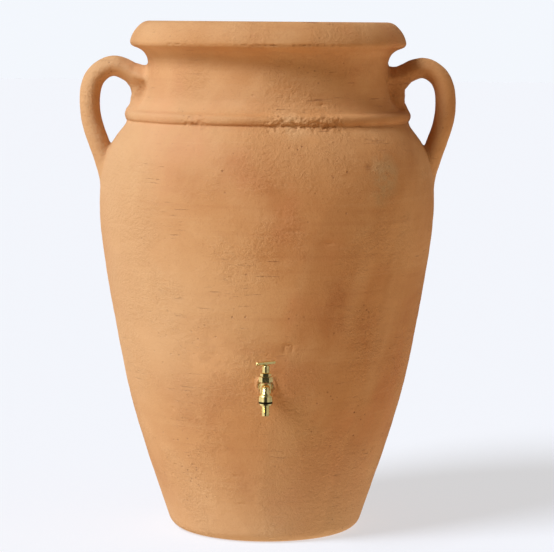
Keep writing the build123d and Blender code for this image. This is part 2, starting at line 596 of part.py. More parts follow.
with BuildPart() as lid:
    with BuildSketch(Plane.XZ):
        with BuildLine():
            Polyline((0, CUP_FLOOR_Z - LID_SKIN), (0, CUP_FLOOR_Z), (CUP_BOTTOM_R, CUP_FLOOR_Z),
                     (CUP_R, LID_CROWN_Z), (FLANGE_INNER_R - 3, LID_SHOULDER_Z),
                     (FLANGE_INNER_R, SEAT_Z + LID_T), (LID_R, SEAT_Z + LID_T), (LID_R, SEAT_Z),
                     (SKIRT_R, SEAT_Z), (SKIRT_R, SEAT_Z - SKIRT), (SKIRT_R - LID_SKIN, SEAT_Z - SKIRT),
                     (SKIRT_R - LID_SKIN, LID_SHOULDER_Z - LID_SKIN),
                     (CUP_R + LID_SKIN, LID_CROWN_Z - LID_SKIN),
                     (CUP_BOTTOM_R + LID_SKIN, CUP_FLOOR_Z - LID_SKIN), close=True)
        make_face()
    revolve(axis=Axis.Z)
    add(lid_ribs.part)
    with BuildSketch(Plane.XZ):
        for radius in BEAD_RINGS:
            fall = (radius - CUP_R) / (FLANGE_INNER_R - 3 - CUP_R) * (LID_CROWN_Z - LID_SHOULDER_Z)
            with Locations((radius, LID_CROWN_Z - fall)):
                Circle(BEAD_R)
    revolve(axis=Axis.Z)
    with BuildSketch(Plane.XY.offset(CUP_FLOOR_Z)):
        Circle(CUP_R)
        Rectangle(2 * CUP_R, BAR_WIDTH, mode=Mode.INTERSECT)
    extrude(amount=LID_CROWN_Z - CUP_FLOOR_Z)
    with BuildSketch(Plane.XZ.offset(-BAR_WIDTH)):
        with Locations((0, (CUP_FLOOR_Z + LID_CROWN_Z - BAR_THICKNESS) / 2)):
            Rectangle(2 * CUP_BOTTOM_R - 6, LID_CROWN_Z - BAR_THICKNESS - CUP_FLOOR_Z)
    extrude(amount=2 * BAR_WIDTH, mode=Mode.SUBTRACT)
    with Locations((LOCK_R, 0, SEAT_Z + LID_T), (-LOCK_R, 0, SEAT_Z + LID_T)):
        Hole(LOCK_HOLE_R, depth=2 * LID_T)
lid.part.label = "lid"
export_step(lid.part, "parts/lid.step")

# ================================================================ lid locking screws
# A fluted knob with a coin slot on a threaded shank, and the rubber ring that keeps it in the lid.
for name, side in (("left", -1), ("right", 1)):
    lid_top = Plane((side * LOCK_R, 0, SEAT_Z + LID_T))
    with BuildPart() as lock_ring:
        add(ring(lid_top, LOCK_RING_R, LOCK_SHANK_R + RUNNING))
        extrude(amount=LOCK_RING)
        fillet(lock_ring.edges().filter_by(GeomType.CIRCLE).group_by(SortBy.RADIUS)[-1], EDGE / 2)
    lock_ring.part.label = f"lid_screw_ring_{name}"
    export_step(lock_ring.part, f"parts/lid_screw_ring_{name}.step")

    head = lid_top.offset(LOCK_RING)
    with BuildPart() as lock_screw:
        with BuildSketch(head):
            Circle(LOCK_HEAD_R)
            with PolarLocations(LOCK_HEAD_R + LOCK_FLUTE_R / 2, LOCK_FLUTES):
                Circle(LOCK_FLUTE_R, mode=Mode.SUBTRACT)
        extrude(amount=LOCK_HEAD)
        fillet(lock_screw.faces().sort_by(Axis.Z)[-1].edges(), EDGE)
        with BuildSketch(head.offset(LOCK_HEAD)):
            Rectangle(LOCK_SLOT[0], LOCK_SLOT[1])
        extrude(amount=-LOCK_SLOT[2], mode=Mode.SUBTRACT)
        with BuildSketch(head):
            Circle(LOCK_SHANK_R)
        extrude(amount=-LOCK_LENGTH)
        chamfer(lock_screw.faces().sort_by(Axis.Z)[0].edges(), EDGE)
        with BuildSketch(Plane.XZ):
            with Locations((side * LOCK_R + LOCK_SHANK_R, head.origin.Z - LOCK_LENGTH + 2.5)):
                with GridLocations(0, LOCK_PITCH, 1, 3):
                    Rectangle(2 * LOCK_THREAD_DEPTH, LOCK_PITCH / 2)
        revolve(axis=Axis(lid_top.origin, (0, 0, 1)), mode=Mode.SUBTRACT)
    lock_screw.part.label = f"lid_screw_{name}"
    export_step(lock_screw.part, f"parts/lid_screw_{name}.step")
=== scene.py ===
"""Looks of the amphora-shaped rain barrel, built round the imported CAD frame.

Lengths are named in millimetres and turned into metres by MM. The frame has its origin under the jar's
axis, +Z up, the tap towards -Y and the handles on +X and -X. Angles round the jar count from the tap
towards +X.
"""

import json
import math

import bmesh
import bpy
import numpy as np
from mathutils import Matrix, Vector, noise


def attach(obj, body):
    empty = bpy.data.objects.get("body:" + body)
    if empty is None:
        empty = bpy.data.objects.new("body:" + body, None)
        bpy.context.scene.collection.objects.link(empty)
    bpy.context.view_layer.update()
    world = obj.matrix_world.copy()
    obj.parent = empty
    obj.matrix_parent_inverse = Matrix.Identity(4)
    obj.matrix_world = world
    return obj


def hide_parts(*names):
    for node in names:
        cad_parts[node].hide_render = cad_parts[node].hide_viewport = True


MM = 0.001

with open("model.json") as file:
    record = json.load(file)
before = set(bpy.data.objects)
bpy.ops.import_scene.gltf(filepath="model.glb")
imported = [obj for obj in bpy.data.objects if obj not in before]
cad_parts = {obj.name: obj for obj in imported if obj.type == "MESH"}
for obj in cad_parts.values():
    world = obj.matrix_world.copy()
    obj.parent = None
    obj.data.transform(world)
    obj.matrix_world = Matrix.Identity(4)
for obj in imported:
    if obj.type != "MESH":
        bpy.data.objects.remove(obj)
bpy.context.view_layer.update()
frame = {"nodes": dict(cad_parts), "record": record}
nodes = frame["nodes"]

# ---------------------------------------------------------------- the jar's measures, as in the CAD
HEIGHT = 1130.0
FOOT_R = 185.0
FOOT_INNER_R = 150.0
RECESS_R = 136.0
FOOT_RECESS = 8.0
HEEL_R = 32.0
WALL_LEAN = 19.2
WALL = 6.0
# The wall's outline as (radius, height).
BELLY = [(256, 141), (298.5, 282), (333.5, 445), (360.5, 608), (371.6, 749), (361, 822), (339, 871),
         (311, 907)]
RIB = [(308.4, 909.5), (308.2, 911.5), (310.2, 914), (311.9, 918), (312.2, 923), (310.8, 928), (307, 932),
       (300, 934.5)]
NECK = [(294, 936.5), (286, 944), (277.5, 956), (269, 985), (265.6, 1020), (267.5, 1048)]
RIM = [(276, 1062), (291, 1071), (300.5, 1075.2), (304.8, 1080), (304.5, 1089), (299, 1103), (289.5, 1116),
       (276, 1127), (262, HEIGHT)]
MOUTH_R = 244.0
MOUTH_EDGE_R = 8.0
SEAT_Z = HEIGHT - 30.0
SEAT_INNER_R = 222.0
SEAT_CORNER_R = 4.0
LOCK_R = 230.0
LOCK_HOLE_R = 4.3
PAD_Y = -324.0
PAD_R = 23.0
BOSS_BACK = 304.0  # distance of the boss's inner end from the axis
TAP_Z = 365.0
INSERT_R = 15.5

# Middle of the handle's strap and of the web below its upper root, as (distance from the axis, height).
HANDLE_LINE = [(240, 1000), (262, 1003), (300, 1012), (341, 1028), (377, 1010), (393, 960), (388, 907),
               (372, 858), (352, 795), (338, 735)]
STRAP_HALF_WIDTH = 36.0
STRAP_OUTER_RISE = 25.0
STRAP_INNER_RISE = 21.0
STRAP_EDGE = 11.0  # rounding of the strap's edges
WEB_LINE = [(283, 1000), (284, 962), (292, 925)]
WEB_R = 20.0
WEB_SEAM = 20.0  # fillet between web and neck
ROUND = 240  # corners of the jar's rings
BOLT_CORNERS = 48  # corners of the boss and of drilled holes
# The union nut's groove holds a near-black painted shade band.
GROOVE_Z = 342.3  # middle of the union nut's groove
GROOVE_HALF = 2.1

# ---------------------------------------------------------------- camera, in metres and degrees
EYE = (0, -5.198, 1.130)
TILT = 6.22  # downwards
YAW = -0.26
ROLL = 0.45
LENS = 151.7

# ---------------------------------------------------------------- light
KEY_AZIMUTH = -53.0  # degrees from the tap towards +X
KEY_ELEVATION = 44.0
KEY_SIZE = 24.0  # how wide the key light looks from the jar, in degrees
KEY_STRENGTH = 3.35
KEY_COLOR = (0.93, 1.0, 1.07)
# Light from around as (share from straight down to straight up, colour).
AMBIENT = [(0.0, (0.95, 0.82, 0.64)), (0.20, (0.66, 0.52, 0.36)), (0.45, (0.32, 0.23, 0.14)),
           (0.52, (0.17, 0.12, 0.07)), (1.0, (0.16, 0.14, 0.11))]
AMBIENT_STRENGTH = 3.15
BACKDROP = (0.90, 0.93, 0.98)
FLOOR_HALF = 40.0  # half the floor's side, in metres
FLOOR_WHITE = (0.355, 0.36, 0.392)
FLOOR_GLOW = 0.60
# Brightness that polished brass sees around it, as (share from -X to +X, level).
CARDS = [(0.0, 0.9), (0.18, 1.25), (0.34, 0.05), (0.66, 0.04), (0.80, 0.60), (1.0, 0.4)]


# ---------------------------------------------------------------- curves
def unit(v):
    v = np.array(v, float)
    return v / np.linalg.norm(v)


def spline(points, step, start=None, end=None):
    """Smooth curve through the points, sampled about every step, with end directions where given."""
    p = np.array(points, float)
    h = np.linalg.norm(np.diff(p, axis=0), axis=1)
    t = np.concatenate([[0], np.cumsum(h)])
    n = len(t)
    a, b = np.zeros((n, n)), np.zeros((n, p.shape[1]))
    for i in range(1, n - 1):
        a[i, i - 1 : i + 2] = h[i - 1], 2 * (h[i - 1] + h[i]), h[i]
        b[i] = 6 * ((p[i + 1] - p[i]) / h[i] - (p[i] - p[i - 1]) / h[i - 1])
    a[0, 0] = a[-1, -1] = 1
    if start is not None:
        a[0, :2] = 2 * h[0], h[0]
        b[0] = 6 * ((p[1] - p[0]) / h[0] - unit(start))
    if end is not None:
        a[-1, -2:] = h[-1], 2 * h[-1]
        b[-1] = 6 * (unit(end) - (p[-1] - p[-2]) / h[-1])
    m = np.linalg.solve(a, b)
    s = np.linspace(0, t[-1], max(int(round(t[-1] / step)), 2) + 1)
    k = np.clip(np.searchsorted(t, s, side="right") - 1, 0, n - 2)
    lo, hi, hk = (s - t[k])[:, None], (t[k + 1] - s)[:, None], h[k][:, None]
    return (m[k] * hi**3 + m[k + 1] * lo**3) / (6 * hk) + (p[k] / hk - m[k] * hk / 6) * hi + (
        p[k + 1] / hk - m[k + 1] * hk / 6
    ) * lo


def arc(centre, radius, first, last, count):
    """Points of a circular arc between two angles in degrees."""
    a = np.radians(np.linspace(first, last, count + 1))
    return np.column_stack([centre[0] + radius * np.cos(a), centre[1] + radius * np.sin(a)])


def resample(line, spacing):
    """The line's points spaced by spacing(height)."""
    out = [line[0]]
    travelled = 0.0
    for a, b in zip(line[:-1], line[1:]):
        travelled += np.linalg.norm(b - a)
        if travelled >= spacing(b[1]):
            out.append(b)
            travelled = 0.0
    if np.linalg.norm(out[-1] - line[-1]) > 0.3 * spacing(line[-1][1]):
        out.append(line[-1])
    else:
        out[-1] = line[-1]
    return np.array(out)


def ring_spacing(z):
    """Distance between rings: close at rib and rim, wider on the wall."""
    if 1068 < z < 1086 or 905 < z < 940:
        return 1.7
    if z < 40 or z > 1050:
        return 3.4
    if 880 < z < 975:
        return 3.2
    return 6.6


def body_line():
    """Outside of the jar from the foot to the top of the rim."""
    lean = math.radians(WALL_LEAN)
    heel = arc((FOOT_R, HEEL_R), HEEL_R, -90, -WALL_LEAN, 12)
    belly = spline([tuple(heel[-1])] + BELLY, 0.5, start=(math.sin(lean), math.cos(lean)), end=(-0.62, 0.78))
    above = spline([BELLY[-1]] + RIB + NECK + RIM, 0.25, start=(-0.7, 0.7), end=(-1, 0))
    return np.vstack([heel[:-1], resample(np.vstack([belly, above[1:]]), ring_spacing)])


BODY_LINE = body_line()


def outer_line():
    """The whole outside: base, wall, rim, mouth and lid seat."""
    base = [(60, FOOT_RECESS), (RECESS_R, FOOT_RECESS), (140, 6.5), (146, 1.5), (FOOT_INNER_R, 0), (168, 0)]
    lip = arc((MOUTH_R + MOUTH_EDGE_R, HEIGHT - MOUTH_EDGE_R), MOUTH_EDGE_R, 90, 180, 5)
    wall = [(MOUTH_R, 1117), (MOUTH_R, 1110)]
    corner = arc((MOUTH_R - SEAT_CORNER_R, SEAT_Z + SEAT_CORNER_R), SEAT_CORNER_R, 0, -90, 4)
    return np.vstack([base, BODY_LINE, lip, wall, corner, [(231, SEAT_Z), (SEAT_INNER_R, SEAT_Z)]])


# ---------------------------------------------------------------- meshes
def mesh_object(name, verts, faces):
    mesh = bpy.data.meshes.new(name)
    mesh.from_pydata([tuple(v) for v in verts], [], faces)
    mesh.validate()
    obj = bpy.data.objects.new(name, mesh)
    bpy.context.scene.collection.objects.link(obj)
    return obj


def lathe(line, corners):
    """Closed solid of revolution of a line of (radius, height); both of its ends close on the axis."""
    turn = np.linspace(0, 2 * np.pi, corners, endpoint=False)
    rings = [np.column_stack([r * np.sin(turn), -r * np.cos(turn), np.full(corners, z)]) for r, z in line]
    verts = np.vstack(rings + [[(0, 0, line[0][1])], [(0, 0, line[-1][1])]])
    faces = []
    for i in range(len(line) - 1):
        for j in range(corners):
            k = (j + 1) % corners
            faces.append((i * corners + j, i * corners + k, (i + 1) * corners + k, (i + 1) * corners + j))
    low, high, last = len(verts) - 2, len(verts) - 1, (len(line) - 1) * corners
    for j in range(corners):
        k = (j + 1) % corners
        faces.append((low, k, j))
        faces.append((high, last + j, last + k))
    return verts, faces


def tube(line, half_width, half_height, corners=36):
    """Closed tube with oval sections along a line in the XZ plane; half sizes depend on the length share."""
    tangent = np.gradient(line, axis=0)
    tangent /= np.linalg.norm(tangent, axis=1)[:, None]
    normal = np.column_stack([-tangent[:, 1], tangent[:, 0]])
    a = np.linspace(0, 2 * np.pi, corners, endpoint=False)
    verts, faces = [], []
    for i, (p, n) in enumerate(zip(line, normal)):
        share = i / (len(line) - 1)
        w, t = half_width(share), half_height(share)
        verts += [(p[0] + n[0] * t * math.sin(q), w * math.cos(q), p[1] + n[1] * t * math.sin(q)) for q in a]
    for i in range(len(line) - 1):
        for j in range(corners):
            k = (j + 1) % corners
            faces.append((i * corners + j, (i + 1) * corners + j, (i + 1) * corners + k, i * corners + k))
    faces.append(tuple(range(corners)))
    faces.append(tuple(reversed(range((len(line) - 1) * corners, len(line) * corners))))
    return np.array(verts), faces


def scaled(verts, side=1):
    """Millimetres to metres, mirrored in X for side -1."""
    out = np.array(verts, float) * MM
    out[:, 0] *= side
    return out


def combine(obj, other, operation):
    """Exact boolean of two objects; the second one is used up."""
    step = obj.modifiers.new("boolean", "BOOLEAN")
    step.operation = operation
    step.solver = "EXACT"
    step.object = other
    bpy.context.view_layer.update()
    result = bpy.data.meshes.new_from_object(obj.evaluated_get(bpy.context.evaluated_depsgraph_get()))
    obj.modifiers.clear()
    obj.data = result
    bpy.data.objects.remove(other)


# ---------------------------------------------------------------- distance fields, in millimetres
def smooth_min(a, b, k):
    """Lower of two distances, rounded over k where they meet."""
    h = np.clip(k - np.abs(a - b), 0, None) / k
    return np.minimum(a, b) - h * h * k / 4


def line_distance(points, line):
    """Distance of 2-D points to a line, with the index of the nearest stretch and the side they are on."""
    a, b = line[:-1], line[1:]
    ab = b - a
    best = np.full(len(points), np.inf)
    where = np.zeros(len(points))
    side = np.ones(len(points))
    for i in range(len(a)):
        ap = points - a[i]
        t = np.clip(ap @ ab[i] / (ab[i] @ ab[i]), 0, 1)
        d = np.linalg.norm(ap - t[:, None] * ab[i], axis=1)
        near = d < best
        best[near] = d[near]
        where[near] = (i + t[near]) / len(a)
        cross = ab[i][0] * ap[:, 1] - ab[i][1] * ap[:, 0]
        side[near] = np.sign(cross[near])
    return best, where, side


STRAP_LINE = spline(HANDLE_LINE, 6.0)
WEB_CURVE = spline(WEB_LINE, 8.0)
SHOULDER_LINE = BODY_LINE[(BODY_LINE[:, 1] > 620)]


def strap_half_width(share):
    """Half width of the strap along its length: fanned at the top root, a little spread at the lower one."""
    return STRAP_HALF_WIDTH + 16 * np.exp(-((share / 0.11) ** 2)) + 5 * np.exp(-(((1 - share) / 0.2) ** 2))


def body_distance(p):
    r = np.hypot(p[:, 0], p[:, 1])
    d, _, _ = line_distance(np.column_stack([r, p[:, 2]]), SHOULDER_LINE)
    order = np.argsort(SHOULDER_LINE[:, 1])
    wall = np.interp(p[:, 2], SHOULDER_LINE[order, 1], SHOULDER_LINE[order, 0])
    return np.where(r < wall, -d, d)


def strap_distance(p):
    """Lens-shaped strap: where two large round bars overlap, with rounded edges."""
    d, share, side = line_distance(np.column_stack([np.abs(p[:, 0]), p[:, 2]]), STRAP_LINE)
    v = d * side
    half = strap_half_width(share)
    big_out = (half**2 + STRAP_OUTER_RISE**2) / (2 * STRAP_OUTER_RISE)
    big_in = (half**2 + STRAP_INNER_RISE**2) / (2 * STRAP_INNER_RISE)
    outer = np.hypot(p[:, 1], v + big_out - STRAP_OUTER_RISE) - big_out
    inner = np.hypot(p[:, 1], v - big_in + STRAP_INNER_RISE) - big_in
    return -smooth_min(-outer, -inner, STRAP_EDGE) + 0.4


def web_distance(p):
    d, _, _ = line_distance(np.column_stack([np.abs(p[:, 0]), p[:, 2]]), WEB_CURVE)
    return np.hypot(d, p[:, 1]) - WEB_R


def joined_distance(p):
    """Jar, strap and web run together: a tight seam at the lower root, soft fillets at the upper one."""
    seam = np.interp(p[:, 2], (840, 930), (6.0, 14.0))
    return smooth_min(smooth_min(body_distance(p), strap_distance(p), seam), web_distance(p), WEB_SEAM)


def slope(field, p, h=0.4):
    out = np.zeros_like(p)
    for axis in range(3):
        q = p.copy()
        q[:, axis] += h
        out[:, axis] = field(q)
        q[:, axis] -= 2 * h
        out[:, axis] = (out[:, axis] - field(q)) / (2 * h)
    return out


def settle(field, p, rounds=5):
    """Moves points onto the field's surface."""
    for _ in range(rounds):
        g = slope(field, p)
        value = field(p)
        p = p - np.clip(value, -6, 6)[:, None] * g / np.maximum((g * g).sum(1), 0.2)[:, None]
    return p


# ---------------------------------------------------------------- the jar's surface detail, in millimetres
def soft_step(x, low, high):
    t = min(max((x - low) / (high - low), 0.0), 1.0)
    return t * t * (3 - 2 * t)


def window(x, low, high, edge):
    return soft_step(x, low - edge, low + edge) * (1 - soft_step(x, high - edge, high + edge))


def wrinkle(x, y, z, size, octaves=3):
    """Fractal noise about zero for a place in millimetres."""
    return noise.fractal(Vector((x, y, z)) / size, 1.0, 2.0, octaves)


# Torn places along the rib as (first angle, last angle, depth): two beside the front and some round the back.
RIB_CHIPS = [(0, 30, 2.8), (-36, -24, 1.8), (128, 150, 3.0), (-160, -142, 3.0), (-77, -70, 1.6)]
# Broken stretches of the rim's lower lip as (first angle, last angle, share of the full wear).
LIP_CHIPS = [(-12, 18, 0.9), (-46, -24, 0.5), (20, 46, 0.3), (150, 175, 0.8), (-130, -112, 0.7),
             (62, 70, 0.5)]
# Dents in the wall as (angle, height, half width, half height, depth).
DENTS = [
    (24.5, 955, 7, 4, 2.4),
    (-26.2, 861, 5, 9, 1.4),
    (37.6, 827, 6, 5, 1.5),
    (8.6, 452, 9, 5, 2.2),
    (6.6, 443, 4, 9, 2.0),
    (9.6, 444, 3, 7, 1.6),
    (8.5, 697, 15, 3.5, 2.4),
    (21.2, 671, 13, 4, 2.0),
    (24.0, 536, 38, 3, 1.3),
    (7.5, 346, 20, 3.5, 1.2),
    (-41, 300, 6, 4, 1.5),
    (-58, 655, 5, 4, 1.5),
    (-13, 158, 15, 3, 1.8),
    (-12, 92, 10, 3, 1.2),
    (96, 560, 9, 4, 1.8),
    (140, 700, 7, 6, 1.6),
    (172, 420, 10, 4, 1.8),
    (-128, 480, 6, 9, 1.6),
    (-110, 250, 12, 3, 1.5),
    (205, 860, 6, 5, 1.4),
    (60, 205, 8, 3, 1.2),
]
RIB_FOOT_Z = 907.0
RIB_TOP_Z = 936.0
LIP_Z = 1080.5


def rib_wear(angle, z, x, y):
    """Waves, crumbs and torn places of the raised rib."""
    body = soft_step(z, RIB_FOOT_Z - 4, RIB_FOOT_Z + 4) * (1 - soft_step(z, RIB_TOP_Z - 7, RIB_TOP_Z + 1))
    height = body * (1.3 * wrinkle(x, y, 0, 95, 2) + 0.35 * wrinkle(x, y, z, 16, 3))
    skirt = soft_step(z, RIB_FOOT_Z - 13, RIB_FOOT_Z - 2) * (1 - soft_step(z, RIB_TOP_Z - 7, RIB_TOP_Z + 1))
    for first, last, depth in RIB_CHIPS:
        torn = window(angle, first + 2 * wrinkle(0, 0, z, 9, 2), last, 2.0) * skirt
        if torn > 0:
            coarse = wrinkle(x, y, z, 13, 4)
            fine = wrinkle(y, z, x, 5.5, 3)
            height += torn * depth * (-0.35 + 0.95 * coarse + 0.75 * fine)
    return height


def lip_wear(angle, z, x, y):
    """Crack and crumbs along the rim's lower lip."""
    band = math.exp(-(((z - LIP_Z - 1.6 * wrinkle(x, y, 0, 60, 2)) / 1.7) ** 2))
    share = 0.3 + sum(full * window(angle, first, last, 4) for first, last, full in LIP_CHIPS)
    broken = max(0.0, 0.45 + 2.4 * wrinkle(x, y, z, 7, 3))
    edge = math.exp(-(((z - LIP_Z + 3.5) / 3.5) ** 2))
    return -2.3 * band * share * broken + 1.5 * edge * share * wrinkle(x, y, z, 7, 3)


def relief(x, y, z):
    """Height of the surface detail over the smooth jar."""
    angle = math.degrees(math.atan2(x, -y))
    low = 1.2 * wrinkle(x, y, z, 260, 2)
    rings = 0.35 * wrinkle(x * 0.06, y * 0.06, z, 19, 2) + 0.5 * wrinkle(x * 0.1, y * 0.1, z + 500, 52, 2)
    skin = 0.25 * wrinkle(x, y, z, 26, 3)
    total = low + rings + skin
    if RIB_FOOT_Z - 16 < z < RIB_TOP_Z + 2:
        total += rib_wear(angle, z, x, y)
    if z > 1066:
        total = 0.4 * total + lip_wear(angle, z, x, y)
    r = math.hypot(x, y)
    for a, h, half_w, half_h, depth in DENTS:
        if abs(z - h) < 4 * half_h:
            across = math.radians(math.remainder(angle - a, 360)) * r
            if abs(across) < 4 * half_w:
                fade = math.exp(-((across / half_w) ** 2) - ((z - h) / half_h) ** 2)
                total -= depth * fade * (0.8 + 0.7 * wrinkle(x, y, z, 6, 2))
    keep = soft_step(z, 2, 24) * (1 - soft_step(z, HEIGHT - 5, HEIGHT - 0.5))
    near_tap = math.hypot(x, z - TAP_Z) if y < 0 else 999
    keep *= soft_step(near_tap, PAD_R + 1, PAD_R + 16)
    return total * keep


def split_edges(mesh, edges, cuts):
    """Splits edges in equal parts and leaves no face with more than four corners."""
    bmesh.ops.subdivide_edges(mesh, edges=list(edges), cuts=cuts, use_grid_fill=True)
    bmesh.ops.triangulate(mesh, faces=[f for f in mesh.faces if len(f.verts) > 4])


def refine(mesh, wanted, longest):
    """Splits the edges longer than longest of the faces that wanted(centre) picks."""
    for _ in range(3):
        edges = set()
        for face in mesh.faces:
            if wanted(face.calc_center_median()):
                edges.update(e for e in face.edges if e.calc_length() > longest)
        if not edges:
            break
        split_edges(mesh, edges, 1)


def split_patch(mesh, angle, half_angle, low, high, cuts, rings_too):
    """Splits the rings' edges, and where rings_too the upright ones, in a patch of the jar's outside."""
    edges = set()
    for face in mesh.faces:
        c = face.calc_center_median()
        inmost = MOUTH_R + 20 if c.z >= 1 else FOOT_INNER_R / 2  # high up, the mouth's wall is left out
        if low * MM < c.z < high * MM and math.hypot(c.x, c.y) > inmost * MM:
            turn = math.degrees(math.atan2(c.x, -c.y))
            if abs(math.remainder(turn - angle, 360)) < half_angle:
                for e in face.edges:
                    rise = abs(e.verts[0].co.z - e.verts[1].co.z)
                    if rings_too or rise < 0.5 * e.calc_length():
                        edges.add(e)
    if edges:
        split_edges(mesh, edges, cuts)


def refine_detail(jar):
    """Closer corners where the surface is torn, cracked or dented."""
    mesh = bmesh.new()
    mesh.from_mesh(jar.data)
    for first, last, _ in LIP_CHIPS:
        reach = (last - first) / 2 + 3
        split_patch(mesh, (first + last) / 2, reach, LIP_Z - 6, LIP_Z + 4, 2, False)
    for first, last, _ in RIB_CHIPS:
        reach = (last - first) / 2 + 4
        split_patch(mesh, (first + last) / 2, reach, RIB_FOOT_Z - 15, RIB_TOP_Z + 1, 3, False)
    for angle, z, half_w, half_h, _ in DENTS:
        reach = math.degrees(2.2 * half_w / np.interp(z, BODY_LINE[:, 1], BODY_LINE[:, 0])) + 1
        split_patch(mesh, angle, reach, z - 2.2 * half_h - 2, z + 2.2 * half_h + 2, 2, True)
    mesh.to_mesh(jar.data)
    mesh.free()


def handle_zone(v):
    """Where strap, web and jar can meet, in metres."""
    return abs(v.x) > 0.225 and 0.70 < v.z < 1.062 and abs(v.y) < 0.13


def make_jar():
    """One skin: jar, rib, rim, lid seat, handles and tap boss, closed by a disc across the lid seat."""
    verts, faces = lathe(outer_line(), ROUND)
    jar = mesh_object("jar_skin", scaled(verts), faces)
    strap_half_height = 0.5 * (STRAP_OUTER_RISE + STRAP_INNER_RISE)
    for side in (1, -1):
        verts, faces = tube(STRAP_LINE, strap_half_width, lambda share: strap_half_height)
        strap = mesh_object("strap", scaled(verts, side), [f if side > 0 else f[::-1] for f in faces])
        verts, faces = tube(WEB_CURVE, lambda share: WEB_R, lambda share: WEB_R, 24)
        web = mesh_object("web", scaled(verts, side), [f if side > 0 else f[::-1] for f in faces])
        combine(jar, strap, "UNION")
        combine(jar, web, "UNION")
    boss_line = [(0.01, -PAD_Y), (PAD_R - 3, -PAD_Y), (PAD_R - 0.9, -PAD_Y - 0.9), (PAD_R, -PAD_Y - 3),
                 (PAD_R, BOSS_BACK), (0.01, BOSS_BACK)]
    verts, faces = lathe(boss_line, BOLT_CORNERS)
    boss = mesh_object("boss", scaled(verts), faces)
    boss.data.transform(Matrix.Translation((0, 0, TAP_Z * MM)) @ Matrix.Rotation(math.pi / 2, 4, "X"))
    combine(jar, boss, "UNION")
    for side in (1, -1):
        drill(jar, (side * LOCK_R, 0, SEAT_Z - WALL + 0.6), (0, 0, 1), LOCK_HOLE_R, 12)
    drill(jar, (0, PAD_Y + 8, TAP_Z), (0, -1, 0), INSERT_R, 14)
    return jar


def drill(obj, bottom, direction, radius, depth):
    """Cuts a round hole from its bottom outwards."""
    verts, faces = lathe([(radius, 0), (radius, depth)], BOLT_CORNERS)
    bit = mesh_object("bit", scaled(verts), faces)
    bit.data.transform(Vector(direction).to_track_quat("Z", "Y").to_matrix().to_4x4())
    bit.data.transform(Matrix.Translation(Vector(bottom) * MM))
    combine(obj, bit, "DIFFERENCE")


def soften_handles(jar):
    """Draws the handle roots out into fillets by moving the skin onto the joined distance field."""
    mesh = bmesh.new()
    mesh.from_mesh(jar.data)
    bmesh.ops.remove_doubles(mesh, verts=[v for v in mesh.verts if handle_zone(v.co)], dist=0.0008)
    bmesh.ops.triangulate(mesh, faces=[f for f in mesh.faces if len(f.verts) > 4])
    refine(mesh, lambda c: handle_zone(c) and abs(c.x) > 0.24, 0.0085)
    bmesh.ops.triangulate(mesh, faces=[f for f in mesh.faces if len(f.verts) > 4])
    zone = [v for v in mesh.verts if handle_zone(v.co)]
    points = np.array([v.co for v in zone]) / MM
    near = np.minimum(strap_distance(points), web_distance(points)) < 30
    zone = [v for v, n in zip(zone, near) if n]
    for relax in range(3):
        points = np.array([v.co for v in zone]) / MM
        points = settle(joined_distance, points, 4 if relax else 6)
        for v, p in zip(zone, points * MM):
            v.co = p
        if relax < 2:
            for _ in range(2):
                bmesh.ops.smooth_vert(
                    mesh, verts=zone, factor=0.5, use_axis_x=True, use_axis_y=True, use_axis_z=True
                )
    bmesh.ops.recalc_face_normals(mesh, faces=mesh.faces)
    mesh.to_mesh(jar.data)
    mesh.free()


# Inside of the wall from the lid seat down to the middle of the floor, as (radius, height).
INNER_LINE = [(222, 1094.5), (249, 1094), (258, 1070), (259.6, 1030), (263, 985), (274, 945), (300, 908),
              (330, 870), (353, 822), (365.6, 749), (354.5, 608), (327.5, 446), (292.5, 283), (250, 142),
              (209, 26), (186, 6), (152, 6), (139, 14), (60, 14)]
INNER_SHARE = 3  # one corner inside for three on the seat's edge


def apply_relief(jar):
    """Moves the skin along its normals by the surface detail."""
    mesh = jar.data
    count = len(mesh.vertices)
    points = np.zeros(count * 3)
    mesh.vertices.foreach_get("co", points)
    points = points.reshape(-1, 3) / MM
    normals = np.zeros(count * 3)
    mesh.vertex_normals.foreach_get("vector", normals)
    normals = normals.reshape(-1, 3)
    beside = (np.abs(points[:, 0]) > 225) & (np.abs(points[:, 1]) < 130)
    near = beside & (points[:, 2] > 690) & (points[:, 2] < 1062)
    away = np.full(count, 99.0)
    away[near] = np.minimum(strap_distance(points[near]), web_distance(points[near]))
    moved = points.copy()
    for i in range(count):
        x, y, z = points[i]
        if math.hypot(x, y) < MOUTH_R + 9 and z > 1090:
            continue
        share = soft_step(away[i], 1.0, 18.0)
        height = relief(x, y, z) * share if share > 0 else 0.0
        if share < 1:
            height += (1 - share) * (0.8 * wrinkle(x, y, z, 60, 2) + 0.3 * wrinkle(x, y, z, 15, 3))
        if away[i] < 40:
            root = math.exp(-((away[i] / 16) ** 2)) * (1 - soft_step(abs(x), 300, 335))
            height += root * (1.7 * wrinkle(x, y, z, 15, 3) + 0.8 * wrinkle(y, z, x, 7, 2))
        moved[i] += normals[i] * height
    mesh.vertices.foreach_set("co", (moved * MM).ravel())
    mesh.update()


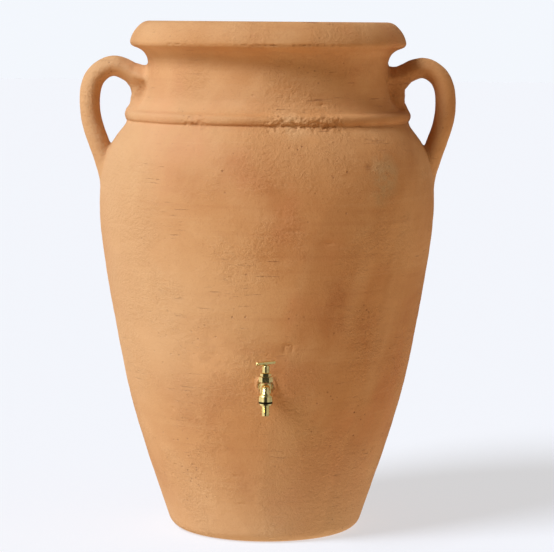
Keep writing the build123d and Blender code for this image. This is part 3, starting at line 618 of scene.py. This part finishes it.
def add_inside(jar):
    """Opens the mouth and hangs the inner wall from the lid seat's edge."""
    mesh = bmesh.new()
    mesh.from_mesh(jar.data)
    mesh.verts.ensure_lookup_table()
    centre = min(mesh.verts, key=lambda v: (v.co - Vector((0, 0, SEAT_Z * MM))).length)
    bmesh.ops.delete(mesh, geom=[centre], context="VERTS")
    open_corners = {v for e in mesh.edges if e.is_boundary for v in e.verts}
    rim = sorted(open_corners, key=lambda v: math.atan2(v.co.x, -v.co.y))
    count = len(rim) // INNER_SHARE
    last = None
    for r, z in INNER_LINE:
        ring = []
        for i in range(count):
            a = math.atan2(rim[i * INNER_SHARE].co.x, -rim[i * INNER_SHARE].co.y)
            ring.append(mesh.verts.new((r * math.sin(a) * MM, -r * math.cos(a) * MM, z * MM)))
        for i in range(count):
            k = (i + 1) % count
            if last is None:
                fan = [rim[(i * INNER_SHARE + j) % len(rim)] for j in range(INNER_SHARE + 1)]
                mesh.faces.new([ring[i]] + [ring[k]] + fan[::-1])
            else:
                mesh.faces.new((last[i], ring[i], ring[k], last[k]))
        last = ring
    middle = mesh.verts.new((0, 0, INNER_LINE[-1][1] * MM))
    for i in range(count):
        mesh.faces.new((last[i], middle, last[(i + 1) % count]))
    bmesh.ops.recalc_face_normals(mesh, faces=mesh.faces)
    mesh.to_mesh(jar.data)
    mesh.free()


# ---------------------------------------------------------------- materials
class Recipe:
    """A procedural material that is built up node by node."""

    def __init__(self, name):
        self.material = bpy.data.materials.new(name)
        self.material.use_nodes = True
        self.tree = self.material.node_tree
        self.shader = self.tree.nodes["Principled BSDF"]
        self.place = self.node("ShaderNodeTexCoord").outputs["Object"]

    def node(self, kind, inputs=None, **settings):
        made = self.tree.nodes.new(kind)
        for key, value in settings.items():
            setattr(made, key, value)
        for key, value in (inputs or {}).items():
            socket = made.inputs[key]
            if isinstance(value, bpy.types.NodeSocket):
                self.tree.links.new(value, socket)
            else:
                socket.default_value = value
        return made

    def stretched(self, scale):
        """Coordinates scaled by axis."""
        return self.node("ShaderNodeMapping", {"Vector": self.place, "Scale": scale}).outputs[0]

    def noise(self, scale, detail=3.0, rough=0.55, where=None, warp=0.0):
        inputs = {"Vector": where or self.place, "Scale": scale, "Detail": detail, "Roughness": rough,
                  "Distortion": warp}
        return self.node("ShaderNodeTexNoise", inputs).outputs["Fac"]

    def ramp(self, value, stops, smooth=True):
        """Maps a value through (position, level or colour) stops."""
        made = self.node("ShaderNodeValToRGB", {"Fac": value})
        made.color_ramp.interpolation = "EASE" if smooth else "LINEAR"
        bar = made.color_ramp.elements
        while len(bar) < len(stops):
            bar.new(0.5)
        for element, (position, level) in zip(bar, stops):
            element.position = position
            element.color = (level, level, level, 1) if isinstance(level, (int, float)) else (*level, 1)
        return made.outputs["Color"]

    def mix(self, share, low, high, blend="MIX"):
        made = self.node("ShaderNodeMix", data_type="RGBA", blend_type=blend)
        for socket, value in ((made.inputs[0], share), (made.inputs[6], low), (made.inputs[7], high)):
            if isinstance(value, bpy.types.NodeSocket):
                self.tree.links.new(value, socket)
            else:
                socket.default_value = (*value, 1) if isinstance(value, tuple) else value
        return made.outputs[2]

    def sum(self, a, b, operation="ADD"):
        return self.node("ShaderNodeMath", {0: a, 1: b}, operation=operation).outputs[0]

    def bump(self, height, strength, distance, normal=None):
        inputs = {"Height": height, "Strength": strength, "Distance": distance}
        if normal is not None:
            inputs["Normal"] = normal
        return self.node("ShaderNodeBump", inputs).outputs[0]

    def finish(self, color=None, roughness=None, normal=None, **fixed):
        for key, value in (("Base Color", color), ("Roughness", roughness), ("Normal", normal)):
            if isinstance(value, bpy.types.NodeSocket):
                self.tree.links.new(value, self.shader.inputs[key])
            elif value is not None:
                self.shader.inputs[key].default_value = (*value, 1) if isinstance(value, tuple) else value
        for key, value in fixed.items():
            self.shader.inputs[key.replace("_", " ")].default_value = value
        return self.material


def srgb(red, green, blue):
    """Linear colour of an 8-bit screen colour."""
    shares = (red / 255, green / 255, blue / 255)
    return tuple(c / 12.92 if c < 0.04045 else ((c + 0.055) / 1.055) ** 2.4 for c in shares)


def spot(m, angle, radius, height, size, sharp=0.5):
    """Share from 1 in the middle of a round patch at a place on the jar to 0 at its edge."""
    turn = math.radians(angle)
    centre = (radius * math.sin(turn) * MM, -radius * math.cos(turn) * MM, height * MM)
    away = m.node("ShaderNodeVectorMath", {0: m.place, 1: centre}, operation="DISTANCE").outputs["Value"]
    return m.ramp(m.sum(away, 1 / (size * MM), "MULTIPLY"), [(sharp, 1.0), (1.0, 0.0)])


# Broad paler areas as (angle, radius, height, size, colour, share). The two on the left, where the key light
# falls, are painted light, the one under the base is painted bounce light from the floor, and the one at the
# back is the clay's own paler tone.
WASHES_AND_PAINTED_LIGHT = [
    (-66, 330, 840, 380, srgb(216, 176, 134), 0.55),
    (-60, 310, 480, 400, srgb(217, 178, 136), 0.70),
    (0, 0, -70, 490, srgb(220, 182, 142), 0.95),
    (150, 310, 560, 360, srgb(214, 172, 128), 0.55),
]
# Stains and lime bloom, described the same way.
BLOOMS = [
    (44, 371, 812, 62, srgb(190, 158, 116), 0.55),
    (40, 372, 770, 40, srgb(186, 150, 104), 0.45),
    (36, 362, 828, 11, srgb(130, 70, 38), 0.35),
    (9, 300, 912, 60, srgb(222, 178, 130), 0.35),
    (-20, 330, 420, 90, srgb(230, 178, 128), 0.35),
    (25, 352, 536, 70, srgb(165, 98, 52), 0.25),
    (92, 362, 640, 110, srgb(226, 176, 128), 0.4),
    (-100, 350, 520, 100, srgb(176, 102, 58), 0.35),
    (168, 368, 720, 90, srgb(205, 172, 132), 0.5),
    (-150, 330, 430, 80, srgb(230, 180, 130), 0.4),
]


def terracotta():
    """Matte moulded plastic that imitates thrown terracotta: mottled, with drag lines, pits and bloom."""
    m = Recipe("terracotta")
    tones = [(0.33, srgb(187, 125, 72)), (0.5, srgb(197, 140, 87)), (0.67, srgb(207, 155, 104))]
    clay = m.ramp(m.noise(3.4, 5, 0.6, warp=0.5), tones)
    sand = m.ramp(m.noise(1.7, 4, 0.6, warp=0.8), [(0.45, 0.0), (0.63, 0.7)])
    clay = m.mix(sand, clay, srgb(213, 163, 114))
    rosy = m.ramp(m.noise(2.6, 4, 0.6, where=m.stretched((1.2, 1.2, 0.8))), [(0.52, 0.0), (0.68, 0.5)])
    clay = m.mix(rosy, clay, srgb(198, 126, 78))
    drag = m.noise(1.0, 6, 0.65, where=m.stretched((2.6, 2.6, 60)))
    clay = m.mix(m.ramp(drag, [(0.34, 0.12), (0.47, 0.0)]), clay, srgb(168, 100, 54))
    clay = m.mix(m.ramp(drag, [(0.55, 0.0), (0.70, 0.13)]), clay, srgb(222, 178, 132))
    scrape = m.noise(1.0, 4, 0.6, where=m.stretched((15, 15, 260)))
    scraped = m.ramp(m.noise(7, 3, 0.6), [(0.52, 0.0), (0.62, 1.0)])
    line = m.sum(m.ramp(scrape, [(0.29, 1.0), (0.37, 0.0)]), scraped, "MULTIPLY")
    clay = m.mix(m.sum(line, 0.55, "MULTIPLY"), clay, srgb(142, 80, 42))
    grain = m.noise(240, 5, 0.75)
    clay = m.mix(m.ramp(grain, [(0.30, 0.30), (0.48, 0.0)]), clay, srgb(160, 94, 50))
    clay = m.mix(m.ramp(grain, [(0.56, 0.0), (0.74, 0.22)]), clay, srgb(222, 184, 142))
    cells = m.node("ShaderNodeTexVoronoi", {"Vector": m.place, "Scale": 66.0, "Randomness": 1.0})
    cell = cells.outputs["Distance"]
    pitted = m.ramp(m.noise(8, 3, 0.6), [(0.52, 0.0), (0.66, 1.0)])
    pit = m.sum(m.ramp(cell, [(0.06, 1.0), (0.20, 0.0)]), pitted, "MULTIPLY")
    clay = m.mix(m.sum(pit, 0.60, "MULTIPLY"), clay, srgb(124, 66, 34))
    ragged = m.ramp(m.noise(26, 4, 0.65), [(0.36, 0.0), (0.6, 1.0)])
    uneven = m.ramp(m.noise(4, 4, 0.6), [(0.3, 0.75), (0.65, 1.0)])
    # Paler washes: painted light on the key-lit left and painted floor bounce at the bottom; the one at the
    # back is clay tone.
    for angle, radius, height, size, tint, share in WASHES_AND_PAINTED_LIGHT:
        patch = m.sum(spot(m, angle, radius, height, size, 0.15), uneven, "MULTIPLY")
        clay = m.mix(m.sum(patch, share, "MULTIPLY"), clay, tint)
    for angle, radius, height, size, tint, share in BLOOMS:
        patch = m.sum(spot(m, angle, radius, height, size, 0.25), ragged, "MULTIPLY")
        clay = m.mix(m.sum(patch, share, "MULTIPLY"), clay, tint)
    height = m.sum(m.sum(m.noise(290, 5, 0.75), 0.45, "MULTIPLY"), m.sum(drag, 0.5, "MULTIPLY"))
    height = m.sum(height, m.sum(pit, -1.6, "MULTIPLY"))
    height = m.sum(height, m.sum(line, -1.8, "MULTIPLY"))
    normal = m.bump(height, 0.6, 0.0012)
    crumbly = m.ramp(m.noise(5, 3, 0.6), [(0.40, 0.25), (0.56, 1.0)])
    normal = m.bump(m.sum(m.noise(120, 4, 0.7), crumbly, "MULTIPLY"), 0.8, 0.0045, normal)
    normal = m.bump(m.noise(34, 5, 0.65), 0.32, 0.0034, normal)
    return m.finish(clay, m.ramp(grain, [(0.3, 0.66), (0.7, 0.80)]), normal, Specular_IOR_Level=0.42)


def brass(name, rough, tarnished, paint_groove_shade=False):
    """Turned and polished brass, tarnished in patches; on the union nut, a near-black painted shade fills the
    groove.
    """
    m = Recipe(name)
    tarnish = m.ramp(m.noise(130, 4, 0.6), [(0.42, 0.0), (0.74, tarnished)])
    color = m.mix(tarnish, (0.88, 0.71, 0.30), (0.50, 0.35, 0.12))
    if paint_groove_shade:
        # Painted shade: the union nut's groove is coloured near-black and made rough.
        height = m.node("ShaderNodeSeparateXYZ", {"Vector": m.place}).outputs["Z"]
        bounds = {0: height, 1: GROOVE_Z * MM, 2: GROOVE_HALF * MM}
        groove_shade_mask = m.node("ShaderNodeMath", bounds, operation="COMPARE").outputs[0]
        color = m.mix(groove_shade_mask, color, (0.028, 0.018, 0.008))
        rough = m.mix(groove_shade_mask, (rough, rough, rough), (0.75, 0.75, 0.75))
    else:
        rough = m.ramp(m.noise(90, 3, 0.6), [(0.35, rough), (0.7, rough + 0.12)])
    turned = m.noise(1.0, 3, 0.6, where=m.stretched((60, 60, 1500)))
    return m.finish(color, rough, m.bump(turned, 0.10, 0.0003), Metallic=1.0)


def rubber():
    m = Recipe("black_rubber")
    dust = m.ramp(m.noise(180, 3, 0.6), [(0.4, 0.0), (0.8, 0.5)])
    color = m.mix(dust, (0.014, 0.014, 0.015), (0.045, 0.042, 0.038))
    return m.finish(color, 0.62, m.bump(m.noise(900, 3, 0.6), 0.2, 0.0002))


def fibre():
    m = Recipe("red_fibre")
    color = m.mix(m.noise(700, 4, 0.7), (0.22, 0.05, 0.03), (0.36, 0.10, 0.06))
    return m.finish(color, 0.8, m.bump(m.noise(1200, 4, 0.7), 0.3, 0.0002))


def lock_plastic():
    m = Recipe("lock_plastic")
    color = m.mix(m.noise(60, 3, 0.6), (0.020, 0.018, 0.017), (0.038, 0.034, 0.031))
    rough = m.ramp(m.noise(40, 3, 0.6), [(0.3, 0.42), (0.7, 0.58)])
    return m.finish(color, rough, m.bump(m.noise(800, 3, 0.6), 0.25, 0.0002))


# ---------------------------------------------------------------- camera, floor and light
def photo_camera():
    """Long lens level with the rim, tilted down to the middle of the jar."""
    camera = bpy.data.objects.new("camera", bpy.data.cameras.new("camera"))
    camera.data.lens = LENS
    camera.data.sensor_width = 36.0
    turn = Matrix.Rotation(math.radians(YAW), 4, "Z") @ Matrix.Rotation(math.radians(90 - TILT), 4, "X")
    camera.matrix_world = Matrix.Translation(EYE) @ turn @ Matrix.Rotation(math.radians(ROLL), 4, "Z")
    camera.data.clip_end = 60
    bpy.context.scene.collection.objects.link(camera)
    bpy.context.scene.camera = camera


class World:
    """The surroundings: a pale backdrop, warm dim light, and bright cards that polished brass mirrors."""

    def __init__(self):
        world = bpy.data.worlds.new("world")
        world.use_nodes = True
        bpy.context.scene.world = world
        self.nodes = world.node_tree.nodes
        self.link = world.node_tree.links.new
        place = self.nodes.new("ShaderNodeTexCoord")
        self.split = self.nodes.new("ShaderNodeSeparateXYZ")
        self.link(place.outputs["Generated"], self.split.inputs[0])
        self.path = self.nodes.new("ShaderNodeLightPath")

    def light(self, color, strength):
        back = self.nodes.new("ShaderNodeBackground")
        back.inputs[1].default_value = strength
        if isinstance(color, tuple):
            back.inputs[0].default_value = (*color, 1)
        else:
            self.link(color, back.inputs[0])
        return back.outputs[0]

    def spread(self, axis, stops):
        """Colour by the direction's part along an axis, from -1 to 1, through (share, colour) stops."""
        half = self.nodes.new("ShaderNodeMath")
        half.operation = "MULTIPLY_ADD"
        half.inputs[1].default_value = 0.5
        half.inputs[2].default_value = 0.5
        self.link(self.split.outputs[axis], half.inputs[0])
        ramp = self.nodes.new("ShaderNodeValToRGB")
        bar = ramp.color_ramp.elements
        while len(bar) < len(stops):
            bar.new(0.5)
        for element, (position, color) in zip(bar, stops):
            element.position = position
            element.color = (*color, 1)
        self.link(half.outputs[0], ramp.inputs[0])
        return ramp.outputs[0]

    def times(self, first, second):
        mix = self.nodes.new("ShaderNodeVectorMath")
        mix.operation = "MULTIPLY"
        self.link(first, mix.inputs[0])
        self.link(second, mix.inputs[1])
        return mix.outputs[0]

    def choose(self, ray, otherwise, then):
        mix = self.nodes.new("ShaderNodeMixShader")
        self.link(self.path.outputs[ray], mix.inputs[0])
        self.link(otherwise, mix.inputs[1])
        self.link(then, mix.inputs[2])
        return mix.outputs[0]


def studio():
    """Pale floor, a soft key light from the front left, and the surroundings."""
    corners = [(x * FLOOR_HALF, y * FLOOR_HALF, 0) for x, y in ((-1, -1), (1, -1), (1, 1), (-1, 1))]
    floor = mesh_object("floor", corners, [(0, 1, 2, 3)])
    m = Recipe("pale_floor")
    white = m.mix(m.noise(3, 3, 0.5), FLOOR_WHITE, tuple(0.99 * c for c in FLOOR_WHITE))
    floor.data.materials.append(m.finish(white, 0.95, Specular_IOR_Level=0.0, Emission_Strength=FLOOR_GLOW))
    m.shader.inputs["Emission Color"].default_value = (*BACKDROP, 1)
    floor.visible_glossy = False
    floor.visible_diffuse = False
    world = World()
    behind = world.spread("Y", [(0.05, (0.35, 0.30, 0.25)), (0.25, (1.0, 1.0, 1.0))])
    beside = world.spread("X", [(0.78, (0.65, 0.65, 0.65)), (1.0, (1.0, 1.0, 1.0))])
    around = world.times(world.spread("Z", AMBIENT), world.times(behind, beside))
    ambient = world.light(around, AMBIENT_STRENGTH)
    cards = world.light(world.spread("X", [(at, (level, level, level)) for at, level in CARDS]), 1.0)
    lit = world.choose("Is Glossy Ray", ambient, cards)
    seen = world.choose("Is Camera Ray", lit, world.light(BACKDROP, 1.0))
    world.link(seen, world.nodes["World Output"].inputs[0])
    sun = bpy.data.objects.new("key", bpy.data.lights.new("key", "SUN"))
    sun.data.energy = KEY_STRENGTH
    sun.data.angle = math.radians(KEY_SIZE)
    sun.data.color = KEY_COLOR
    turn, rise = math.radians(KEY_AZIMUTH), math.radians(KEY_ELEVATION)
    towards = Vector((math.sin(turn) * math.cos(rise), -math.cos(turn) * math.cos(rise), math.sin(rise)))
    sun.rotation_euler = towards.to_track_quat("Z", "Y").to_euler()
    bpy.context.scene.collection.objects.link(sun)
    bpy.context.scene.view_settings.view_transform = "Standard"


jar = make_jar()
soften_handles(jar)
refine_detail(jar)
apply_relief(jar)
add_inside(jar)
jar.name = "jar"
jar.data.polygons.foreach_set("use_smooth", [True] * len(jar.data.polygons))
clay = terracotta()
jar.data.materials.clear()
jar.data.materials.append(clay)
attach(jar, "root")
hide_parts("vessel")

FINISHES = {
    "lid": clay,
    "brass": brass("brass_polished", 0.13, 0.5),
    "rubber": rubber(),
    "fibre": fibre(),
    "lock_plastic": lock_plastic(),
}
SPECIAL = {
    "tap_body": brass("brass_cast", 0.20, 0.65),
    "union_nut": brass("brass_nut_groove_shade", 0.14, 0.5, paint_groove_shade=True),
}
for entry in frame["record"]["subparts"]:
    name, slot = entry["node"], entry["material_slot"]
    if name == "vessel":
        continue
    node = nodes[name]
    node.data.materials.clear()
    node.data.materials.append(SPECIAL.get(name, FINISHES[slot]))

photo_camera()
studio()
